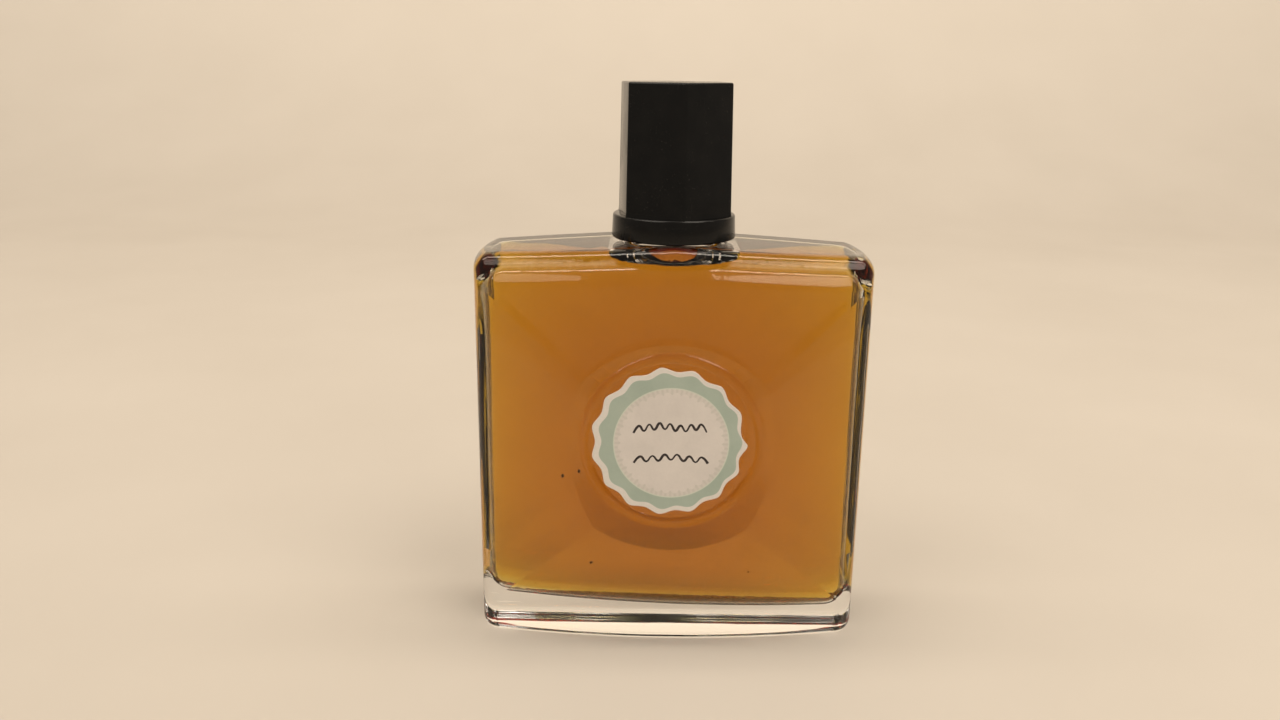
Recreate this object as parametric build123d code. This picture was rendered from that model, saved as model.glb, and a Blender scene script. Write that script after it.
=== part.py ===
from build123d import *
import math
import os

# Aftershave flask: a pressed glass bottle with a screw cap, in millimetres.
# The origin is the centre of the resting face. +Z is up, X runs along the width,
# and the labelled front faces -Y.

# ---- Glass body -----------------------------------------------------------------------
body_width = 75.0             # over the bowed side walls
shoulder_edge_height = 76.5   # top of the body at its ends
shoulder_slope = 0.05         # rise of the shoulder towards the neck, mm per mm
edge_depth = 26.0             # front to back at the heel and at the shoulder, in the middle
facet_rise = 8.2              # how far the facets on each face rise to the point they aim at
facet_centre_height = 39.7    # height of that point
side_taper = 4.0              # the side walls are narrower than the heel by this much
side_bow = 1.5                # how far each side wall bulges
face_bow_radius = 190.0       # every facet of the front and back is bowed in plan
edge_radius = 3.4             # upright edges, heel and shoulder

# ---- Wall of the glass ------------------------------------------------------------------
side_wall = 2.3
face_wall = 2.6               # at the heel, the shoulder and the side walls
hollow_taper = 3.2            # the hollow narrows less than the outside does
base_thickness = 8.1          # in the middle
base_tilt = 0.036             # the floor of the hollow falls this much per mm to the right
shoulder_thickness = 3.2
cavity_edge_radius = 4.0

# ---- Medallion on the front and the back ---------------------------------------------------
medallion_height = 43.1
medallion_radius = 17.2       # round recess that holds the ring
medallion_sink = 5.3          # its floor lies this far below the point the facets aim at
medallion_slope = 65.0        # degrees, from the way the recess faces to its wall
medallion_wall = 2.0          # least glass behind the recess's floor
back_flat_depth = 17.6        # the flat centre of the back lies this far behind the middle
ring_margin = 1.25            # from the recess's foot to the middle of the raised ring
ring_width = 1.8
ring_rise = 0.35

# ---- Neck --------------------------------------------------------------------------------
neck_radius = 6.55
neck_height = 12.4            # from the ledge to the lip
ledge_width = 2.65            # of the ledge round the foot of the neck
ledge_rise = 0.55             # above the shoulder beside it
ledge_edge = 0.4              # chamfer of the ledge
neck_root_width = 1.2         # sweep of glass from the ledge out to the shoulder
lip_radius = 0.5
bore_radius = 4.3
bore_root_width = 4.1         # the bore flares this much where it meets the cavity's roof
bore_root_rise = 3.4
bore_root_sweep = 4.2
bore_root_sink = 0.5          # the flare runs this far into the cavity
thread_pitch = 2.12
thread_rise = 0.75            # height of the ridge on the glass
thread_root = 1.25
thread_crest = 0.55
thread_turns = 1.75
thread_start = 3.4            # above the ledge

# ---- Fits --------------------------------------------------------------------------------
thread_clearance = 0.2        # radial, between the threads of the cap and the neck
seal_gap = 0.05               # left between the liner and the pour insert
liner_clearance = 0.06        # round the liner and above it, so that the cap can turn over it
cap_foot_gap = 0.3            # the collar hangs this far above the ledge
thread_bite = 0.3             # how far a ridge is sunk into the wall that carries it

# ---- Cap -----------------------------------------------------------------------------------
cap_wall = 1.34               # between the sleeve and the middle of a flat, at the foot
collar_height = 4.4
collar_overhang = 0.35        # the collar stands this far outside the corners of the grip
collar_draft = 0.2            # the collar's top is smaller by this much in radius
collar_edge_radius = 0.4
grip_sides = 6
grip_height = 23.8
grip_draft = 0.4              # the grip's top is smaller by this much in corner radius
grip_turn = -82.0             # direction of one upright edge, from +X
grip_edge_radius = 0.3
cap_top_thickness = 1.8
hollow_step = 1.05            # the hollow above the sleeve is narrower than the sleeve
sleeve_wall = 0.95
sleeve_foot_gap = 0.6         # the sleeve stops this far inside the collar
sleeve_top = 1.2
liner_thickness = 1.2

# ---- Pour insert ------------------------------------------------------------------------------
flange_inset = 0.45           # the flange is smaller than the neck by this much in radius
flange_thickness = 0.8
plug_length = 6.0
plug_wall = 0.9
orifice_radius = 2.2
orifice_web = 1.0

# ---- Liquid -----------------------------------------------------------------------------------
air_height = 0.68             # from its level to the highest part of the cavity's roof

# ---- Label ------------------------------------------------------------------------------------
label_margin = 1.15           # from the raised ring to the middle of the scalloped edge
label_scallops = 15
label_scallop_depth = 0.4
label_thickness = 0.12
label_offset = -0.6           # the sticker sits a little to the left

# ---- Worked out from the sizes above ------------------------------------------------------------
facet_depth = edge_depth + 2 * facet_rise
ridge_height = shoulder_edge_height + shoulder_slope * body_width / 2
cavity_roof = ridge_height - shoulder_thickness
fill_height = cavity_roof - air_height
medallion_floor = facet_depth / 2 - medallion_sink
medallion_back = medallion_sink + medallion_wall
ring_radius = medallion_radius - ring_margin
label_radius = ring_radius - ring_width / 2 - label_margin
ledge_radius = neck_radius + ledge_width
neck_root_radius = ledge_radius + neck_root_width
neck_root_height = ridge_height - shoulder_slope * neck_root_radius
ledge_height = neck_root_height + ledge_rise
lip_height = ledge_height + neck_height
thread_crest_radius = neck_radius + thread_rise
sleeve_bore = thread_crest_radius + thread_clearance
sleeve_radius = sleeve_bore + sleeve_wall
sleeve_foot = ledge_height + cap_foot_gap + sleeve_foot_gap
liner_foot = lip_height + flange_thickness + seal_gap
liner_top = liner_foot + liner_thickness
sleeve_lid = liner_top + liner_clearance
sleeve_head = sleeve_lid + sleeve_top
grip_radius = (sleeve_radius + cap_wall) / math.cos(math.pi / grip_sides)
collar_radius = grip_radius + collar_overhang
cap_foot = ledge_height + cap_foot_gap
collar_top = cap_foot + collar_height
cap_top = collar_top + grip_height
slack = 5.0                   # overshoot of cutting shapes
steep = 0.85                  # the Z part from which a direction counts as upright


def facet_slab(edge_half, apex_half):
    """Everything behind one face's upper and lower facets, bowed in plan."""
    axis_y = face_bow_radius - edge_half
    outline = Polyline(
        (axis_y, 0),
        (-edge_half, 0),
        (-apex_half, facet_centre_height),
        (-edge_half, ridge_height),
        (axis_y, ridge_height),
        close=True,
    )
    reach = math.degrees(math.asin((body_width / 2 + slack) / (face_bow_radius - apex_half)))
    bow_axis = Axis((0, axis_y, 0), (0, 0, 1))
    slab = revolve(make_face(Plane.YZ * outline), bow_axis, 2 * reach)
    return slab.rotate(bow_axis, -reach)


def plan_outline(half_width, half_side, half_apex):
    """Plan of the left and right facets, with bowed ends."""
    corner = half_width - side_bow
    bulge = corner**2 / (8 * face_bow_radius)
    middle = (half_side + half_apex) / 2 + bulge
    outline = []
    for side in (1, -1):
        end = ThreePointArc((side * corner, -half_side), (side * half_width, 0), (side * corner, half_side))
        outline.append(end)
        for facing in (1, -1):
            start = (side * corner, facing * half_side)
            point = (0, facing * half_apex)
            outline.append(ThreePointArc(start, (side * corner / 2, facing * middle), point))
    return make_face(outline)


def flask(side_inset, face_inset, apex_inset, taper, low, tilt, top_drop, rounding):
    """The faceted body without its neck, inset by the walls, on a floor that may be tilted."""
    half_width = body_width / 2 - side_inset
    half_apex = facet_depth / 2 - apex_inset
    half_side = (edge_depth - taper) / 2 - face_inset
    front = facet_slab(edge_depth / 2 - face_inset, half_apex)
    back = front.rotate(Axis.Z, 180)
    ends = extrude(plan_outline(half_width, half_side, half_apex), ridge_height)
    reach = body_width / 2 + slack
    roof_edge = ridge_height - shoulder_slope * reach - top_drop
    gable = Polyline(
        (-reach, low + tilt * reach),
        (reach, low - tilt * reach),
        (reach, roof_edge),
        (0, ridge_height - top_drop),
        (-reach, roof_edge),
        close=True,
    )
    body = front & back & ends & extrude(make_face(Plane.XZ * gable), facet_depth, both=True)
    uprights = [
        edge
        for edge in body.edges()
        if abs(edge.center().X) > half_width - 2 * side_bow and abs(edge.tangent_at(0.5).Z) > steep
    ]
    roof_edges = [
        edge
        for face in body.faces()
        if face.normal_at().Z > steep
        for edge in face.edges()
        if abs(edge.center().X) > side_bow
    ]
    heel_edges = body.faces().sort_by(Axis.Z)[0].edges()
    return fillet(uprights + roof_edges + list(heel_edges), rounding)


def turned(points):
    """A solid turned about the Z axis from (radius, height) points."""
    return revolve(make_face(Plane.XZ * Polyline(*points, close=True)), Axis.Z)


def tube(outer_radius, inner_radius, low, high):
    """A straight tube, or a rod where the inner radius is zero."""
    rod = Pos(0, 0, low) * extrude(Circle(outer_radius), high - low)
    if inner_radius == 0:
        return rod
    return rod - Pos(0, 0, low) * extrude(Circle(inner_radius), high - low)


def thread_ridge(wall_radius, rise, root, crest, low, turns):
    """A helical ridge on a wall. A negative rise points it inwards."""
    path = Helix(thread_pitch, thread_pitch * turns, wall_radius, center=(0, 0, low))
    sunk = -math.copysign(thread_bite, rise)
    slope = (root - crest) / (2 * abs(rise))
    foot = root / 2 + slope * thread_bite
    outline = Polyline(
        (wall_radius + sunk, low - foot),
        (wall_radius + rise, low - crest / 2),
        (wall_radius + rise, low + crest / 2),
        (wall_radius + sunk, low + foot),
        close=True,
    )
    return sweep(make_face(Plane.XZ * outline), path=path, is_frenet=True)


def on_medallion(solid):
    """A solid drawn upright, turned to stand out of the front."""
    return Pos(0, 0, medallion_height) * Rot(90, 0, 0) * solid


def recess():
    """What is cut away in front of the medallion."""
    out = facet_depth / 2 + slack
    flare = medallion_radius + math.tan(math.radians(medallion_slope)) * (out - medallion_floor)
    return turned(
        [
            (0, medallion_floor),
            (medallion_radius, medallion_floor),
            (flare, out),
            (0, out),
        ]
    )


def ring():
    """Raised ring on the medallion, rooted in the glass behind it."""
    inside = ring_radius - ring_width / 2
    outside = ring_radius + ring_width / 2
    root = medallion_floor - medallion_wall / 2
    crown = (ring_radius, medallion_floor + ring_rise)
    bead = ThreePointArc((inside, medallion_floor), crown, (outside, medallion_floor))
    rest = Polyline((outside, medallion_floor), (outside, root), (inside, root), (inside, medallion_floor))
    return revolve(Plane.XZ * make_face([bead, rest]), Axis.Z)


def behind_back():
    """What is cut away behind the flat centre of the back."""
    return Pos(0, back_flat_depth + slack, facet_centre_height) * Box(body_width, 2 * slack, body_width)


def neck_outside():
    """The root of the neck on the shoulder, the ledge and the threaded neck."""
    root = turned(
        [
            (0, neck_root_height - slack),
            (neck_root_radius, neck_root_height - slack),
            (neck_root_radius, neck_root_height),
            (ledge_radius, ledge_height - ledge_edge),
            (ledge_radius - ledge_edge, ledge_height),
            (0, ledge_height),
        ]
    )
    neck = tube(neck_radius, 0, ledge_height, lip_height)
    neck = fillet(neck.edges().group_by(Axis.Z)[-1], lip_radius)
    low = ledge_height + thread_start
    ridge = thread_ridge(neck_radius, thread_rise, thread_root, thread_crest, low, thread_turns)
    return root + neck + ridge


def neck_inside():
    """The bore and the flare that joins it to the cavity."""
    top = lip_height + slack
    flare_top = (bore_radius, cavity_roof + bore_root_rise)
    flare_foot = (bore_radius + bore_root_width, cavity_roof - bore_root_sink)
    side = Line((bore_radius, top), flare_top)
    flare = RadiusArc(flare_top, flare_foot, bore_root_sweep)
    rest = Polyline(flare_foot, (0, cavity_roof - bore_root_sink), (0, top), (bore_radius, top))
    return revolve(Plane.XZ * make_face([side, flare, rest]), Axis.Z)


def glass_inside():
    """The hollow of the flask. Its facets are shallower, which leaves glass behind the medallion."""
    walls = (side_wall, face_wall, medallion_back)
    floor = (base_thickness, base_tilt)
    hollow = flask(*walls, hollow_taper, *floor, shoulder_thickness, cavity_edge_radius)
    return hollow + neck_inside()


def glass_bottle(inside):
    """Faceted body with a ringed medallion in front and a flat back, neck and thread, less its hollow."""
    body = flask(0, 0, 0, side_taper, 0, 0, 0, edge_radius)
    body = body - on_medallion(recess()) + on_medallion(ring()) - behind_back()
    return body + neck_outside() - inside


def liquid(inside):
    """Everything inside the glass below the level of the liquid."""
    below = Pos(0, 0, fill_height / 2) * Box(body_width, facet_depth, fill_height)
    return inside & below


def pour_insert():
    """Flanged plug in the neck's bore, with a small pouring hole."""
    top = lip_height + flange_thickness
    foot = lip_height - plug_length
    return turned(
        [
            (orifice_radius, top),
            (neck_radius - flange_inset, top),
            (neck_radius - flange_inset, lip_height),
            (bore_radius, lip_height),
            (bore_radius, foot),
            (bore_radius - plug_wall, foot),
            (bore_radius - plug_wall, top - orifice_web),
            (orifice_radius, top - orifice_web),
        ]
    )


def cap_shell():
    """Six-sided cap with a round collar, bored for the sleeve and hollow above it."""
    foot = Pos(0, 0, collar_top) * Rot(0, 0, grip_turn) * RegularPolygon(grip_radius, grip_sides)
    head = RegularPolygon(grip_radius - grip_draft, grip_sides)
    grip = loft([foot, Pos(0, 0, cap_top) * Rot(0, 0, grip_turn) * head])
    grip = fillet(grip.faces().sort_by(Axis.Z)[-1].edges(), grip_edge_radius)
    collar = turned(
        [
            (0, cap_foot),
            (collar_radius, cap_foot),
            (collar_radius - collar_draft, collar_top),
            (0, collar_top),
        ]
    )
    collar = fillet(collar.edges().group_by(Axis.Z)[-1], collar_edge_radius)
    bore = tube(sleeve_radius, 0, cap_foot - slack, sleeve_head)
    hollow = tube(sleeve_radius - hollow_step, 0, cap_foot, cap_top - cap_top_thickness)
    return grip + collar - bore - hollow


def cap_thread_insert():
    """Threaded sleeve, closed at the top, pressed into the cap's shell."""
    sleeve = tube(sleeve_radius, sleeve_bore, sleeve_foot, sleeve_lid)
    top = tube(sleeve_radius, 0, sleeve_lid, sleeve_head)
    low = ledge_height + thread_start - thread_pitch / 2
    rise = -(sleeve_bore - neck_radius - thread_clearance)
    ridge = thread_ridge(sleeve_bore, rise, thread_root, thread_crest, low, thread_turns)
    return sleeve + top + ridge


def label():
    """Round paper sticker with a scalloped edge, flat on the medallion."""
    rim = []
    for step in range(2 * label_scallops):
        angle = math.pi * step / label_scallops
        swing = label_scallop_depth if step % 2 == 0 else -label_scallop_depth
        radius = label_radius + swing
        rim.append((radius * math.cos(angle), radius * math.sin(angle)))
    sticker = extrude(make_face(Spline(*rim, periodic=True)), label_thickness)
    place = Pos(label_offset, -medallion_floor, medallion_height)
    return place * Rot(90, 0, 0) * sticker


def write(name, shape):
    """One sub-part, one file."""
    shape.label = name
    export_step(shape, os.path.join("parts", name + ".step"))


os.makedirs("parts", exist_ok=True)
inside = glass_inside()
write("glass_bottle", glass_bottle(inside))
write("aftershave_liquid", liquid(inside))
write("pour_insert", pour_insert())
write("cap_shell", cap_shell())
write("cap_thread_insert", cap_thread_insert())
write("cap_liner", tube(sleeve_bore - liner_clearance, 0, liner_foot, liner_top))
write("label", label())
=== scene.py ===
import bpy
import math
from mathutils import Matrix, Vector


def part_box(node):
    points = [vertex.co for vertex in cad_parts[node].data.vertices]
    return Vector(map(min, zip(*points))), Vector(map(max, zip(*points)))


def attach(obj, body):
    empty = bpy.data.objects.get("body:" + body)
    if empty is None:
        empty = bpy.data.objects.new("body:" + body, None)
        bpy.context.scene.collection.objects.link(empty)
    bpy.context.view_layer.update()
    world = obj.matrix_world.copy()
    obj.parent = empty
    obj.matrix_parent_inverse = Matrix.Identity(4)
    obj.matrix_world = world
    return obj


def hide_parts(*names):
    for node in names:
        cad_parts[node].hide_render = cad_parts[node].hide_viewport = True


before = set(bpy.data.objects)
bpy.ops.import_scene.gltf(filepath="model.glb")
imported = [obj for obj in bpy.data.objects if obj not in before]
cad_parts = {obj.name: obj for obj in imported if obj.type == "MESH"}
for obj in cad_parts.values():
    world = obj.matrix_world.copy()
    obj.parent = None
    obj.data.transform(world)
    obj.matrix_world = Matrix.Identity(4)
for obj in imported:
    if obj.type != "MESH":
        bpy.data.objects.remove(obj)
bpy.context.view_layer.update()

bpy.ops.object.select_all(action="DESELECT")

# Sizes in metres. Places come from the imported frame.
MM = 0.001

label_low, label_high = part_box("label")
label_centre = (label_low + label_high) / 2
label_peak = (label_high.x - label_low.x) / 2      # out to the top of a scallop
LABEL_LOBES = 15
LABEL_LOBE_DEPTH = 0.4 * MM
label_mean = label_peak - LABEL_LOBE_DEPTH
PRINT_DISC = 10.5 * MM                             # radius of the writing disc
LIQUID_OVERLAP = 0.08 * MM                         # how far the liquid is grown into the glass
MERGE_DISTANCE = 0.001 * MM


# ---- Node helpers ------------------------------------------------------------------------
def socket(node, name, value):
    node.inputs[name].default_value = value
    return node


def maths(tree, operation, first, second=None, clamp=False):
    """A Math node. An input is a number or another node's output."""
    node = tree.nodes.new("ShaderNodeMath")
    node.operation = operation
    node.use_clamp = clamp
    for index, value in enumerate((first, second)):
        if value is None:
            continue
        if isinstance(value, (int, float)):
            node.inputs[index].default_value = value
        else:
            tree.links.new(value, node.inputs[index])
    return node.outputs[0]


def noise(tree, vector, scale, detail=2.0, roughness=0.5):
    node = tree.nodes.new("ShaderNodeTexNoise")
    node.inputs["Scale"].default_value = scale
    node.inputs["Detail"].default_value = detail
    node.inputs["Roughness"].default_value = roughness
    tree.links.new(vector, node.inputs["Vector"])
    return node.outputs["Fac"]


def spread(tree, value, low, high, to_low=0.0, to_high=1.0):
    """Stretches a value from one range to another and stops at the ends."""
    node = tree.nodes.new("ShaderNodeMapRange")
    node.clamp = True
    tree.links.new(value, node.inputs["Value"])
    for name, number in (("From Min", low), ("From Max", high), ("To Min", to_low), ("To Max", to_high)):
        if isinstance(number, (int, float)):
            node.inputs[name].default_value = number
        else:
            tree.links.new(number, node.inputs[name])
    return node.outputs["Result"]


def blend_colours(tree, factor, first, second):
    """Mixes two colours. Each is a tuple or a node's output."""
    node = tree.nodes.new("ShaderNodeMix")
    node.data_type = "RGBA"
    tree.links.new(factor, node.inputs["Factor"])
    for name, value in (("A", first), ("B", second)):
        target = [entry for entry in node.inputs if entry.name == name and entry.type == "RGBA"][0]
        if isinstance(value, tuple):
            target.default_value = (*value, 1.0)
        else:
            tree.links.new(value, target)
    return [entry for entry in node.outputs if entry.type == "RGBA"][0]


def polar(tree, across, up):
    """The distance and the angle of a place, from its two coordinates."""
    squares = maths(tree, "ADD", maths(tree, "POWER", across, 2.0), maths(tree, "POWER", up, 2.0))
    return maths(tree, "SQRT", squares), maths(tree, "ARCTAN2", up, across)


def bump(tree, height, strength, distance):
    node = tree.nodes.new("ShaderNodeBump")
    node.inputs["Strength"].default_value = strength
    node.inputs["Distance"].default_value = distance
    tree.links.new(height, node.inputs["Height"])
    return node.outputs["Normal"]


# ---- Effects that several materials share --------------------------------------------------
def new_group(name, inputs, outputs):
    group = bpy.data.node_groups.new(name, "ShaderNodeTree")
    for label, kind in inputs:
        group.interface.new_socket(name=label, in_out="INPUT", socket_type=kind)
    for label, kind in outputs:
        group.interface.new_socket(name=label, in_out="OUTPUT", socket_type=kind)
    return group, group.nodes.new("NodeGroupInput"), group.nodes.new("NodeGroupOutput")


def finger_marks_group():
    """Faint smears and fine wipe lines left by handling, as a mask from 0 to 1."""
    group, entry, leave = new_group(
        "finger_marks",
        [("Vector", "NodeSocketVector"), ("Smear Scale", "NodeSocketFloat")],
        [("Mask", "NodeSocketFloat")],
    )
    smear = group.nodes.new("ShaderNodeTexNoise")
    group.links.new(entry.outputs["Vector"], smear.inputs["Vector"])
    group.links.new(entry.outputs["Smear Scale"], smear.inputs["Scale"])
    smear.inputs["Detail"].default_value = 4.0
    smear.inputs["Distortion"].default_value = 0.8
    patches = spread(group, smear.outputs["Fac"], 0.52, 0.72)
    squash = group.nodes.new("ShaderNodeMapping")
    squash.inputs["Scale"].default_value = (1.0, 1.0, 0.08)
    group.links.new(entry.outputs["Vector"], squash.inputs["Vector"])
    wipes = spread(group, noise(group, squash.outputs["Vector"], 2600.0, 1.0), 0.55, 0.75)
    mask = maths(group, "MULTIPLY", patches, maths(group, "ADD", wipes, 0.5), clamp=True)
    group.links.new(mask, leave.inputs["Mask"])
    return group


def dust_group():
    """Scattered specks of dust, thicker on what faces upwards, as a mask from 0 to 1."""
    group, entry, leave = new_group(
        "dust",
        [("Vector", "NodeSocketVector"), ("Speck Scale", "NodeSocketFloat"), ("Cover", "NodeSocketFloat")],
        [("Mask", "NodeSocketFloat")],
    )
    specks = group.nodes.new("ShaderNodeTexVoronoi")
    group.links.new(entry.outputs["Vector"], specks.inputs["Vector"])
    group.links.new(entry.outputs["Speck Scale"], specks.inputs["Scale"])
    dots = spread(group, specks.outputs["Distance"], 0.10, 0.16, 1.0, 0.0)
    patch = noise(group, entry.outputs["Vector"], 160.0, 3.0)
    where = spread(group, patch, 0.45, 0.62)
    geometry = group.nodes.new("ShaderNodeNewGeometry")
    parts = group.nodes.new("ShaderNodeSeparateXYZ")
    group.links.new(geometry.outputs["Normal"], parts.inputs["Vector"])
    facing = spread(group, parts.outputs["Z"], 0.0, 1.0, 0.25, 1.0)
    mask = maths(group, "MULTIPLY", maths(group, "MULTIPLY", dots, where), facing)
    mask = maths(group, "MULTIPLY", mask, entry.outputs["Cover"], clamp=True)
    group.links.new(mask, leave.inputs["Mask"])
    return group


def mould_ripple_group():
    """Long shallow waves left by the mould, as a height."""
    group, entry, leave = new_group(
        "mould_ripple",
        [("Vector", "NodeSocketVector"), ("Wave Scale", "NodeSocketFloat")],
        [("Height", "NodeSocketFloat")],
    )
    wave = group.nodes.new("ShaderNodeTexNoise")
    group.links.new(entry.outputs["Vector"], wave.inputs["Vector"])
    group.links.new(entry.outputs["Wave Scale"], wave.inputs["Scale"])
    wave.inputs["Detail"].default_value = 1.5
    wave.inputs["Roughness"].default_value = 0.35
    group.links.new(wave.outputs["Fac"], leave.inputs["Height"])
    return group


FINGER_MARKS = finger_marks_group()
DUST = dust_group()
MOULD_RIPPLE = mould_ripple_group()


def place_group(tree, group, vector, **values):
    node = tree.nodes.new("ShaderNodeGroup")
    node.node_tree = group
    tree.links.new(vector, node.inputs["Vector"])
    for name, value in values.items():
        node.inputs[name.replace("_", " ")].default_value = value
    return node.outputs[0]


def new_material(name):
    """An empty node material, with its tree, its shader and the Object coordinates."""
    material = bpy.data.materials.new(name)
    material.use_nodes = True
    tree = material.node_tree
    shader = tree.nodes["Principled BSDF"]
    coordinates = tree.nodes.new("ShaderNodeTexCoord")
    return material, tree, shader, coordinates.outputs["Object"]


# ---- Materials -----------------------------------------------------------------------------
def pressed_glass():
    """Clear flint glass: faintly tinted, rippled by the mould, with finger marks."""
    material, tree, shader, place = new_material("pressed_flint_glass")
    socket(shader, "Transmission Weight", 1.0)
    socket(shader, "IOR", 1.52)
    # two faces of each wall reflect, but with liquid behind it only the outer one should
    socket(shader, "Specular Tint", (0.6, 0.6, 0.6, 1.0))
    tint = noise(tree, place, 60.0)
    colour = blend_colours(tree, spread(tree, tint, 0.3, 0.7), (0.985, 0.99, 0.98), (1.0, 1.0, 0.995))
    tree.links.new(colour, shader.inputs["Base Color"])
    marks = place_group(tree, FINGER_MARKS, place, Smear_Scale=45.0)
    tree.links.new(spread(tree, marks, 0.0, 1.0, 0.0, 0.05), shader.inputs["Roughness"])
    ripple = place_group(tree, MOULD_RIPPLE, place, Wave_Scale=110.0)
    tree.links.new(bump(tree, ripple, 1.0, 0.00006), shader.inputs["Normal"])
    return material


def amber_tonic():
    """Clear amber liquid that darkens with its depth."""
    material, tree, shader, place = new_material("amber_tonic")
    socket(shader, "Transmission Weight", 1.0)
    socket(shader, "IOR", 1.36)
    socket(shader, "Specular Tint", (0.1, 0.1, 0.1, 1.0))
    socket(shader, "Roughness", 0.0)
    cloud = noise(tree, place, 90.0, 3.0)
    colour = blend_colours(tree, spread(tree, cloud, 0.3, 0.7), (0.97, 0.955, 0.93), (1.0, 1.0, 1.0))
    tree.links.new(colour, shader.inputs["Base Color"])
    ripple = place_group(tree, MOULD_RIPPLE, place, Wave_Scale=70.0)
    tree.links.new(bump(tree, ripple, 1.0, 0.00012), shader.inputs["Normal"])
    absorb = tree.nodes.new("ShaderNodeVolumeAbsorption")
    absorb.inputs["Color"].default_value = (0.905, 0.765, 0.0, 1.0)
    absorb.inputs["Density"].default_value = 300.0
    tree.links.new(absorb.outputs["Volume"], tree.nodes["Material Output"].inputs["Volume"])
    return material


def cap_black():
    """Glossy black moulding with fine handling marks and dust."""
    material, tree, shader, place = new_material("cap_black")
    marks = place_group(tree, FINGER_MARKS, place, Smear_Scale=120.0)
    specks = place_group(tree, DUST, place, Speck_Scale=1500.0, Cover=0.6)
    mottle = spread(tree, noise(tree, place, 300.0, 3.0), 0.3, 0.7)
    ground = blend_colours(tree, mottle, (0.0032, 0.0032, 0.0032), (0.0055, 0.0053, 0.005))
    colour = blend_colours(tree, maths(tree, "MULTIPLY", specks, 0.35), ground, (0.35, 0.33, 0.30))
    tree.links.new(colour, shader.inputs["Base Color"])
    worn = maths(tree, "ADD", marks, maths(tree, "MULTIPLY", specks, 0.8))
    gloss = spread(tree, worn, 0.0, 1.0, 0.16, 0.36)
    tree.links.new(gloss, shader.inputs["Roughness"])
    socket(shader, "Specular IOR Level", 0.22)
    orange_peel = noise(tree, place, 900.0, 2.0)
    tree.links.new(bump(tree, orange_peel, 0.25, 0.00002), shader.inputs["Normal"])
    return material


def moulded_plastic(name, dark, light, roughness, scale, depth):
    """Plain moulded plastic with a faint mottle and grain."""
    material, tree, shader, place = new_material(name)
    mottle = spread(tree, noise(tree, place, scale, 4.0), 0.3, 0.7)
    tree.links.new(blend_colours(tree, mottle, dark, light), shader.inputs["Base Color"])
    marks = place_group(tree, FINGER_MARKS, place, Smear_Scale=200.0)
    rough = spread(tree, marks, 0.0, 1.0, roughness, roughness + 0.18)
    tree.links.new(rough, shader.inputs["Roughness"])
    grain = noise(tree, place, scale * 6, 2.0)
    tree.links.new(bump(tree, grain, 0.4, depth), shader.inputs["Normal"])
    return material


def liner_foam():
    """Closed-cell foam wad with a fine pitted face, with painted shade darkening each pit."""
    material, tree, shader, place = new_material("liner_foam")
    cells = tree.nodes.new("ShaderNodeTexVoronoi")
    cells.inputs["Scale"].default_value = 2200.0
    tree.links.new(place, cells.inputs["Vector"])
    pit_depth_and_shade = spread(tree, cells.outputs["Distance"], 0.0, 0.7)
    # painted shade: the colour darkens towards the bottom of each pit, following the bump depth
    colour = blend_colours(tree, pit_depth_and_shade, (0.68, 0.67, 0.63), (0.88, 0.87, 0.84))
    tree.links.new(colour, shader.inputs["Base Color"])
    tree.links.new(spread(tree, pit_depth_and_shade, 0.0, 1.0, 0.9, 0.7), shader.inputs["Roughness"])
    tree.links.new(bump(tree, pit_depth_and_shade, 0.5, 0.00005), shader.inputs["Normal"])
    return material


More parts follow.
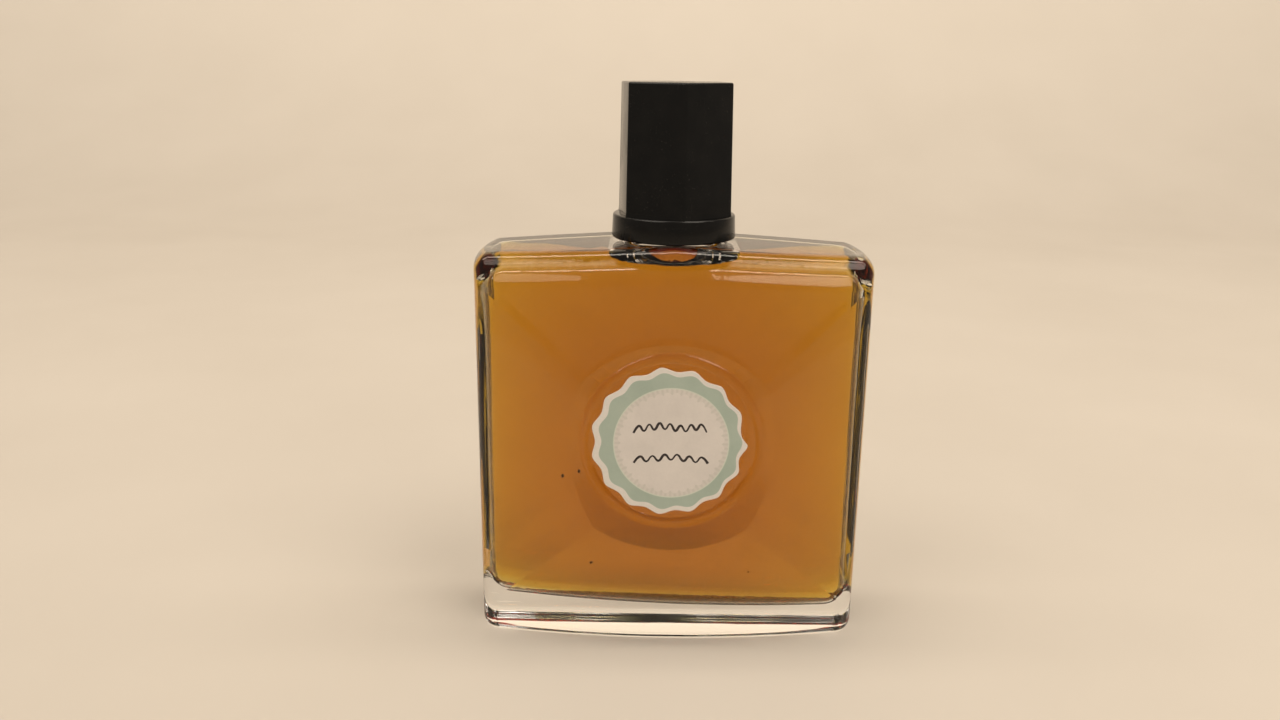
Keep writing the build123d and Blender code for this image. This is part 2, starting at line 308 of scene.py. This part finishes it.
def sticker_paper():
    """Printed paper: white scalloped rim, mint band, and an off-white disc with a lace edge."""
    material, tree, shader, place = new_material("sticker_paper")
    centre = tree.nodes.new("ShaderNodeMapping")
    centre.inputs["Location"].default_value = (-label_centre.x, 0.0, -label_centre.z)
    tree.links.new(place, centre.inputs["Vector"])
    parts = tree.nodes.new("ShaderNodeSeparateXYZ")
    tree.links.new(centre.outputs["Vector"], parts.inputs["Vector"])
    across, up = parts.outputs["X"], parts.outputs["Z"]
    radius, angle = polar(tree, across, up)
    # the mint band ends a little inside the scalloped edge and follows its lobes
    lobes = maths(tree, "COSINE", maths(tree, "MULTIPLY", angle, float(LABEL_LOBES)))
    edge = maths(tree, "ADD", maths(tree, "MULTIPLY", lobes, LABEL_LOBE_DEPTH * 0.9), label_mean - 0.95 * MM)
    print_blur = 0.05 * MM
    rim = spread(tree, maths(tree, "SUBTRACT", radius, edge), -print_blur, print_blur)
    # the writing disc sits a little off the sticker's centre
    disc_across = maths(tree, "SUBTRACT", across, 0.25 * MM)
    disc_up = maths(tree, "ADD", up, 0.22 * MM)
    disc_radius, disc_angle = polar(tree, disc_across, disc_up)
    disc = spread(tree, disc_radius, PRINT_DISC - print_blur, PRINT_DISC + print_blur, 1.0, 0.0)
    line_off = maths(tree, "ABSOLUTE", maths(tree, "SUBTRACT", disc_radius, PRINT_DISC + 0.05 * MM))
    line = spread(tree, line_off, 0.08 * MM, 0.2 * MM, 1.0, 0.0)
    # lace: small fans round the disc, each with a dot inside it
    fans = maths(tree, "ABSOLUTE", maths(tree, "SINE", maths(tree, "MULTIPLY", disc_angle, 18.0)))
    lace_edge = maths(tree, "ADD", maths(tree, "MULTIPLY", fans, 0.55 * MM), PRINT_DISC - 1.25 * MM)
    lace = maths(
        tree,
        "MULTIPLY",
        spread(tree, maths(tree, "SUBTRACT", disc_radius, lace_edge), -0.06 * MM, 0.12 * MM),
        disc,
    )
    holes = maths(tree, "COSINE", maths(tree, "MULTIPLY", disc_angle, 72.0))
    lace = maths(tree, "MULTIPLY", lace, spread(tree, holes, -0.6, 0.7, 0.45, 1.0))
    fibre = spread(tree, noise(tree, place, 2400.0, 5.0, 0.7), 0.3, 0.7)
    wash = spread(tree, noise(tree, place, 220.0, 4.0), 0.3, 0.7)
    mint = blend_colours(tree, wash, (0.36, 0.44, 0.38), (0.41, 0.49, 0.425))
    paper = blend_colours(tree, fibre, (0.68, 0.65, 0.61), (0.78, 0.74, 0.70))
    pale = blend_colours(tree, wash, (0.66, 0.62, 0.59), (0.72, 0.675, 0.64))
    face = blend_colours(tree, disc, mint, pale)
    face = blend_colours(tree, maths(tree, "MULTIPLY", line, 0.7), face, (0.70, 0.72, 0.64))
    face = blend_colours(tree, maths(tree, "MULTIPLY", lace, 0.42), face, (0.47, 0.47, 0.42))
    face = blend_colours(tree, rim, face, paper)
    tone = blend_colours(tree, maths(tree, "MULTIPLY", fibre, 0.06), face, (0.30, 0.28, 0.25))
    tree.links.new(tone, shader.inputs["Base Color"])
    tree.links.new(spread(tree, fibre, 0.0, 1.0, 0.62, 0.8), shader.inputs["Roughness"])
    tree.links.new(bump(tree, fibre, 0.35, 0.00002), shader.inputs["Normal"])
    return material


def pen_ink():
    """Dark ink that thins out along a stroke."""
    material, tree, shader, place = new_material("pen_ink")
    thin = spread(tree, noise(tree, place, 1500.0, 3.0), 0.4, 0.8)
    colour = blend_colours(tree, thin, (0.012, 0.009, 0.010), (0.05, 0.035, 0.035))
    tree.links.new(colour, shader.inputs["Base Color"])
    tree.links.new(spread(tree, thin, 0.0, 1.0, 0.4, 0.6), shader.inputs["Roughness"])
    return material


def sediment_brown():
    """Dark flakes left by the herbs steeped in the liquid."""
    material, tree, shader, place = new_material("sediment_brown")
    fleck = spread(tree, noise(tree, place, 3000.0, 2.0), 0.3, 0.7)
    colour = blend_colours(tree, fleck, (0.02, 0.008, 0.003), (0.06, 0.025, 0.01))
    tree.links.new(colour, shader.inputs["Base Color"])
    socket(shader, "Roughness", 0.6)
    return material


# ---- Modelling helpers -------------------------------------------------------------------------
def settle(piece, name, material, body, slot, *stands_for):
    """Puts a finished piece's place into its mesh, names it and ties it to the frame."""
    bpy.ops.object.select_all(action="DESELECT")
    piece.select_set(True)
    bpy.context.view_layer.objects.active = piece
    bpy.ops.object.transform_apply(location=True, rotation=True, scale=True)
    piece.name = name
    piece.data.name = name
    piece.data.materials.clear()
    piece.data.materials.append(material)
    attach(piece, body)
    if stands_for:
        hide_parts(*stands_for)
    piece.select_set(False)
    return piece


def apply_modifier(piece, kind, **settings):
    """Adds a modifier, sets it and applies it."""
    bpy.ops.object.select_all(action="DESELECT")
    piece.select_set(True)
    bpy.context.view_layer.objects.active = piece
    modifier = piece.modifiers.new(kind.lower(), kind)
    for key, value in settings.items():
        setattr(modifier, key, value)
    bpy.ops.object.modifier_apply(modifier=modifier.name)


def ease_edges(piece, width, segments, sharper_than):
    """Rounds the edges that are sharper than an angle in degrees."""
    limit = math.radians(sharper_than)
    apply_modifier(piece, "BEVEL", width=width, segments=segments, limit_method="ANGLE", angle_limit=limit)


def cylinder(radius, low, high, vertices, turn=0.0):
    bpy.ops.mesh.primitive_cylinder_add(
        vertices=vertices,
        radius=radius,
        depth=high - low,
        location=(0.0, 0.0, (low + high) / 2),
        rotation=(0.0, 0.0, turn),
    )
    piece = bpy.context.object
    bpy.ops.object.transform_apply(location=True, rotation=True, scale=True)
    return piece


def pick(piece, test):
    """Enters edit mode with only the vertices chosen that pass the test."""
    bpy.context.view_layer.objects.active = piece
    bpy.ops.object.mode_set(mode="EDIT")
    bpy.ops.mesh.select_mode(type="VERT")
    bpy.ops.mesh.select_all(action="DESELECT")
    bpy.ops.object.mode_set(mode="OBJECT")
    for vertex in piece.data.vertices:
        vertex.select = test(vertex.co)
    bpy.ops.object.mode_set(mode="EDIT")


def join_solids(piece, other, operation):
    """Adds or cuts another solid, which is then gone."""
    apply_modifier(piece, "BOOLEAN", operation=operation, solver="EXACT", object=other)
    bpy.data.objects.remove(other)


# ---- Cap ---------------------------------------------------------------------------------------
def cap():
    """Six-sided grip with eased edges on a round collar, bored for the sleeve."""
    low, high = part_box("cap_shell")
    sleeve_low, sleeve_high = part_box("cap_thread_insert")
    collar_height = 4.4 * MM
    collar_overhang = 0.35 * MM    # how far the collar stands out past the grip's corners
    collar_draft = 0.2 * MM
    grip_draft = 0.4 * MM
    grip_root = 1.0 * MM           # how far the grip reaches down into the collar
    foot_height = 0.9 * MM
    foot_spread = 1.018
    hollow_step = 1.05 * MM        # the hollow above the sleeve is this much narrower
    top_thickness = 1.8 * MM
    turn = math.radians(8.0)
    near = 1.0 * MM                # vertices this close to a level count as on it
    collar_radius = high.x
    collar_top = low.z + collar_height
    grip_radius = collar_radius - collar_overhang
    grip = cylinder(grip_radius, collar_top - grip_root, high.z, 6, turn)
    pick(grip, lambda spot: spot.z > high.z - near)
    shrink = (grip_radius - grip_draft) / grip_radius
    bpy.ops.transform.resize(value=(shrink, shrink, 1.0), center_override=(0.0, 0.0, high.z))
    # the foot of the grip spreads a little where it meets the collar
    bpy.ops.mesh.select_all(action="SELECT")
    bpy.ops.mesh.bisect(plane_co=(0.0, 0.0, collar_top + foot_height), plane_no=(0.0, 0.0, 1.0))
    bpy.ops.object.mode_set(mode="OBJECT")
    pick(grip, lambda spot: spot.z < collar_top)
    spread_out = (foot_spread, foot_spread, 1.0)
    bpy.ops.transform.resize(value=spread_out, center_override=(0.0, 0.0, collar_top))
    bpy.ops.object.mode_set(mode="OBJECT")
    ease_edges(grip, 0.32 * MM, 4, 25.0)
    collar = cylinder(collar_radius, low.z, collar_top, 160)
    pick(collar, lambda spot: spot.z > collar_top - near)
    shrink = (collar_radius - collar_draft) / collar_radius
    bpy.ops.transform.resize(value=(shrink, shrink, 1.0), center_override=(0.0, 0.0, collar_top))
    bpy.ops.object.mode_set(mode="OBJECT")
    ease_edges(collar, 0.4 * MM, 5, 40.0)
    join_solids(collar, grip, "UNION")
    bore = cylinder(sleeve_high.x, low.z - near, sleeve_high.z, 96)
    join_solids(collar, bore, "DIFFERENCE")
    hollow = cylinder(sleeve_high.x - hollow_step, low.z, high.z - top_thickness, 96)
    join_solids(collar, hollow, "DIFFERENCE")
    bpy.ops.object.shade_smooth_by_angle(angle=math.radians(32.0))
    return settle(collar, "cap_moulding", cap_black(), "cap", "black_plastic", "cap_shell")


# ---- Liquid ------------------------------------------------------------------------------------
def liquid():
    """The liquid, grown a hair into the glass so that no film of air shows between them."""
    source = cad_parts["aftershave_liquid"]
    mesh = source.data.copy()
    piece = bpy.data.objects.new("amber_liquid", mesh)
    bpy.context.scene.collection.objects.link(piece)
    bpy.context.view_layer.objects.active = piece
    piece.select_set(True)
    bpy.ops.object.mode_set(mode="EDIT")
    bpy.ops.mesh.select_all(action="SELECT")
    bpy.ops.mesh.remove_doubles(threshold=MERGE_DISTANCE)
    bpy.ops.transform.shrink_fatten(value=LIQUID_OVERLAP)
    bpy.ops.object.mode_set(mode="OBJECT")
    bpy.ops.object.shade_smooth_by_angle(angle=math.radians(40.0))
    return settle(piece, "amber_liquid_fill", amber_tonic(), "bottle", "amber_liquid", "aftershave_liquid")


def flakes():
    """A few dark flakes of herb that float in the liquid."""
    # across, back, up and radius, in millimetres
    places = [
        (-19.6, -5.0, 33.5, 0.42),
        (-14.8, -6.0, 16.4, 0.38),
        (16.0, 3.0, 12.5, 0.22),
        (-26.0, 2.0, 8.6, 0.25),
        (-9.0, -3.0, 7.6, 0.2),
        (21.0, -4.0, 7.5, 0.22),
    ]
    grains = []
    for x, y, z, size in places:
        spot = (x * MM, y * MM, z * MM)
        bpy.ops.mesh.primitive_ico_sphere_add(subdivisions=2, radius=size * MM, location=spot)
        grain = bpy.context.object
        grain.scale = (1.0, 0.45, 0.7)
        grain.rotation_euler = (x, y, z)
        bpy.ops.object.transform_apply(location=True, rotation=True, scale=True)
        grains.append(grain)
    bpy.ops.object.select_all(action="DESELECT")
    for grain in grains:
        grain.select_set(True)
    bpy.context.view_layer.objects.active = grains[0]
    bpy.ops.object.join()
    return settle(grains[0], "herb_flakes", sediment_brown(), "bottle", "amber_liquid")


# ---- Pen marks ------------------------------------------------------------------------------------
def pen_marks():
    """Two rows of plain pen squiggles on the sticker's writing disc."""
    face = label_low.y
    pen_width = 0.25 * MM
    flatten = 0.09
    # height over the sticker's centre, left end, right end and swing in millimetres, then waves
    rows = [(2.95, -6.7, 6.7, 1.5, 7), (-3.05, -6.6, 7.1, 1.4, 6)]
    strokes = []
    for height, left, right, swing, count in rows:
        bpy.ops.curve.primitive_nurbs_path_add(location=(0.0, 0.0, 0.0))
        stroke = bpy.context.object
        spline = stroke.data.splines[0]
        wanted = 2 * count + 1
        spline.points.add(wanted - len(spline.points))
        for index in range(wanted):
            along = left + (right - left) * index / (wanted - 1)
            sway = swing * (1 if index % 2 else -1) * (0.75 + 0.25 * math.sin(2.3 * index + height))
            drift = 0.15 * math.sin(0.9 * index)
            spot = (label_centre.x + along * MM, face, label_centre.z + (height + sway + drift) * MM)
            spline.points[index].co = (*spot, 1.0)
            spline.points[index].radius = 0.85 + 0.25 * math.sin(1.7 * index)
        spline.order_u = 3
        spline.use_endpoint_u = True
        stroke.data.bevel_depth = pen_width
        stroke.data.bevel_resolution = 3
        stroke.data.use_fill_caps = True
        bpy.ops.object.convert(target="MESH")
        stroke = bpy.context.object
        bpy.ops.object.mode_set(mode="EDIT")
        bpy.ops.mesh.select_all(action="SELECT")
        bpy.ops.transform.resize(value=(1.0, flatten, 1.0), center_override=(0.0, face, 0.0))
        bpy.ops.object.mode_set(mode="OBJECT")
        strokes.append(stroke)
    bpy.ops.object.select_all(action="DESELECT")
    for stroke in strokes:
        stroke.select_set(True)
    bpy.context.view_layer.objects.active = strokes[0]
    bpy.ops.object.join()
    bpy.ops.object.shade_smooth()
    return settle(strokes[0], "pen_marks", pen_ink(), "bottle", "sticker_paper")


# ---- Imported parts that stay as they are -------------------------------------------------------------
def dress(node, material):
    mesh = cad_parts[node].data
    mesh.materials.clear()
    mesh.materials.append(material)


insert_plastic = moulded_plastic(
    "natural_polyethylene",
    dark=(0.62, 0.62, 0.58),
    light=(0.72, 0.72, 0.68),
    roughness=0.35,
    scale=400.0,
    depth=0.02 * MM,
)
sleeve_plastic = moulded_plastic(
    "white_moulding",
    dark=(0.72, 0.71, 0.67),
    light=(0.80, 0.79, 0.75),
    roughness=0.3,
    scale=300.0,
    depth=0.01 * MM,
)
dress("glass_bottle", pressed_glass())
# clear glass lets light through to the floor and to what stands inside it
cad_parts["glass_bottle"].visible_shadow = False
dress("label", sticker_paper())
dress("pour_insert", insert_plastic)
dress("cap_thread_insert", sleeve_plastic)
dress("cap_liner", liner_foam())
cap()
liquid()
flakes()
pen_marks()


# ---- Floor, lights and camera --------------------------------------------------------------------
def floor():
    """A pale floor that sweeps up into a plain backdrop."""
    bpy.ops.mesh.primitive_plane_add(size=1.0, location=(0.0, 0.0, -0.00005))
    plane = bpy.context.object
    plane.name = "floor"
    plane.scale = (4.0, 2.4, 1.0)
    plane.location.y = -0.3
    bpy.ops.object.transform_apply(location=True, rotation=True, scale=True)
    far = 0.9
    pick(plane, lambda spot: spot.y > far - 0.01)
    bpy.ops.mesh.extrude_region_move(TRANSFORM_OT_translate={"value": (0.0, 0.0, 1.4)})
    bpy.ops.object.mode_set(mode="OBJECT")
    pick(plane, lambda spot: spot.y > far - 0.01 and spot.z < 0.01)
    bpy.ops.mesh.bevel(offset=0.4, segments=16, affect="EDGES")
    bpy.ops.object.mode_set(mode="OBJECT")
    bpy.ops.object.shade_smooth()
    material, tree, shader, place = new_material("floor_paint")
    tone = spread(tree, noise(tree, place, 12.0, 3.0), 0.3, 0.7)
    ground = blend_colours(tree, tone, (0.47, 0.43, 0.38), (0.49, 0.45, 0.40))
    height = tree.nodes.new("ShaderNodeSeparateXYZ")
    tree.links.new(place, height.inputs["Vector"])
    rise = spread(tree, height.outputs["Z"], 0.0, 0.5)
    colour = blend_colours(tree, rise, ground, (0.72, 0.665, 0.59))
    tree.links.new(colour, shader.inputs["Base Color"])
    socket(shader, "Roughness", 0.8)
    socket(shader, "Specular IOR Level", 0.2)
    plane.data.materials.append(material)


def area_light(name, place, aim, size, power, colour):
    data = bpy.data.lights.new(name, "AREA")
    data.shape = "ELLIPSE"
    data.size, data.size_y = size
    data.energy = power
    data.color = colour
    light = bpy.data.objects.new(name, data)
    bpy.context.scene.collection.objects.link(light)
    light.location = place
    light.rotation_euler = (Vector(aim) - Vector(place)).to_track_quat("-Z", "Y").to_euler()
    return light


def camera():
    data = bpy.data.cameras.new("camera")
    data.lens = 29.67
    data.sensor_width = 36
    data.clip_start = 0.01
    view = bpy.data.objects.new("camera", data)
    bpy.context.scene.collection.objects.link(view)
    down, aside, roll = (math.radians(angle) for angle in (15.72, -0.07, 0.719))
    turn = Matrix.Rotation(-aside, 4, "Z")
    turn = turn @ Matrix.Rotation(math.pi / 2 - down, 4, "X") @ Matrix.Rotation(roll, 4, "Z")
    view.matrix_world = Matrix.Translation((-0.00578, -0.198385, 0.110088)) @ turn
    bpy.context.scene.camera = view


floor()
WARM = (1.0, 0.90, 0.77)
area_light("key_light", (0.45, -0.4, 0.8), (0.0, 0.0, 0.05), (0.6, 0.6), 4.7, WARM)
area_light("fill_light", (-0.5, -0.4, 0.8), (0.0, 0.0, 0.05), (0.6, 0.6), 2.9, WARM)
area_light("wall_light", (0.0, 0.1, 1.2), (0.0, 0.9, 0.25), (3.0, 0.3), 19.0, WARM)
world = bpy.data.worlds.new("room")
world.use_nodes = True
background = world.node_tree.nodes["Background"]
background.inputs["Color"].default_value = (1.0, 0.87, 0.72, 1.0)
background.inputs["Strength"].default_value = 0.38
bpy.context.scene.world = world
bpy.context.scene.view_settings.view_transform = "Standard"
camera()
